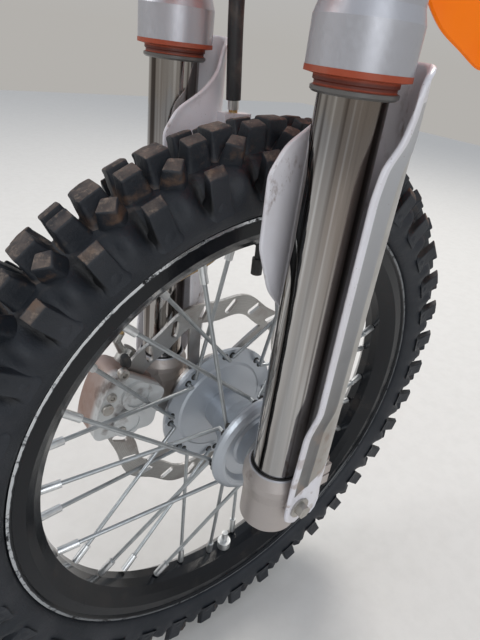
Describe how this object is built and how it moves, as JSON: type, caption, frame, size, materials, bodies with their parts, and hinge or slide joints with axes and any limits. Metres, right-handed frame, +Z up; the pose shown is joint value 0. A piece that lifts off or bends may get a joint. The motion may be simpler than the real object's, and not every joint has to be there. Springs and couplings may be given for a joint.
{
  "type": "front wheel and fork of a mini motocross bike",
  "caption": "Motocross front end: knobbly spoked wheel with disc brake in an upside-down fork with guards, steering clamps, stem and fender, free to steer and roll.",
  "frame": {"origin": "centre of the lower steering bearing's outer ring, on the steering axis", "axes": "+X forward, +Y to the rider's left, +Z up along the steering axis"},
  "size_m": [0.6412, 0.22, 0.9057],
  "materials": {
    "chrome_tube": "mirror polished with fine drag marks",
    "outer_tube": "satin anodised",
    "cap_metal": "anodised",
    "seal_rubber": "dusty orange red",
    "cast_lug": "sand blasted casting, dusty",
    "guard_plastic": "white with dirt specks",
    "steel": "zinc plated, worn",
    "axle_steel": "turned",
    "tyre_rubber": "matt with dusty knobs",
    "rim_black": "gloss black, scratched at the edge",
    "spoke_steel": "zinc grey",
    "nipple_steel": "bright",
    "hub_paint": "silver lilac satin",
    "disc_steel": "ground, heat marked",
    "caliper_cast": "cast, dusty",
    "pad_lining": "rough",
    "hose_black": "smooth",
    "line_amber": "clear amber over braid",
    "fitting_zinc": "zinc plated",
    "clamp_metal": "satin anodised",
    "stem_metal": "turned",
    "bearing_steel": "ground",
    "fender_orange": "gloss orange",
    "valve_black": "matt"
  },
  "bodies": {
    "head_bearings": {"lower_bearing_race": "bearing_steel", "upper_bearing_race": "bearing_steel"},
    "fork": {"axle": "axle_steel", "axle_nut": "steel", "lug_bolts": "steel", "guard_screws": "steel", "caliper_body": "caliper_cast", "brake_pads": "pad_lining", "caliper_bolts": "steel", "brake_hose": "hose_black", "brake_line": "line_amber", "hose_fittings": "fitting_zinc", "hose_guide": "guard_plastic", "lower_clamp": "clamp_metal", "upper_clamp": "clamp_metal", "lower_clamp_bolts": "steel", "upper_clamp_bolts": "steel", "steering_stem": "stem_metal", "stem_nut": "stem_metal", "stem_adjuster": "steel", "lower_bearing_cone": "bearing_steel", "upper_bearing_cone": "bearing_steel", "front_fender": "fender_orange", "fender_bolts": "steel", "inner_tube_right": "chrome_tube", "outer_tube_right": "outer_tube", "fork_cap_right": "cap_metal", "dust_seal_right": "seal_rubber", "axle_lug_right": "cast_lug", "fork_guard_right": "guard_plastic", "wheel_spacer_right": "axle_steel", "inner_tube_left": "chrome_tube", "outer_tube_left": "outer_tube", "fork_cap_left": "cap_metal", "dust_seal_left": "seal_rubber", "axle_lug_left": "cast_lug", "fork_guard_left": "guard_plastic", "wheel_spacer_left": "axle_steel"},
    "wheel": {"tyre": "tyre_rubber", "rim": "rim_black", "spokes": "spoke_steel", "nipples": "nipple_steel", "hub": "hub_paint", "hub_seals": "steel", "brake_disc": "disc_steel", "disc_bolts": "steel", "tyre_valve": "valve_black", "rim_lock": "nipple_steel"}
  },
  "joints": [
    {"name": "steering", "type": "hinge", "parent": "head_bearings", "child": "fork", "pos_m": [0, 0, 0], "axis": [0, 0, 1], "range_deg": [-44, 44]},
    {"name": "wheel_spin", "type": "hinge", "parent": "fork", "child": "wheel", "pos_m": [0.0538, 0, -0.463], "axis": [0, 1, 0], "continuous": true}
  ]
}
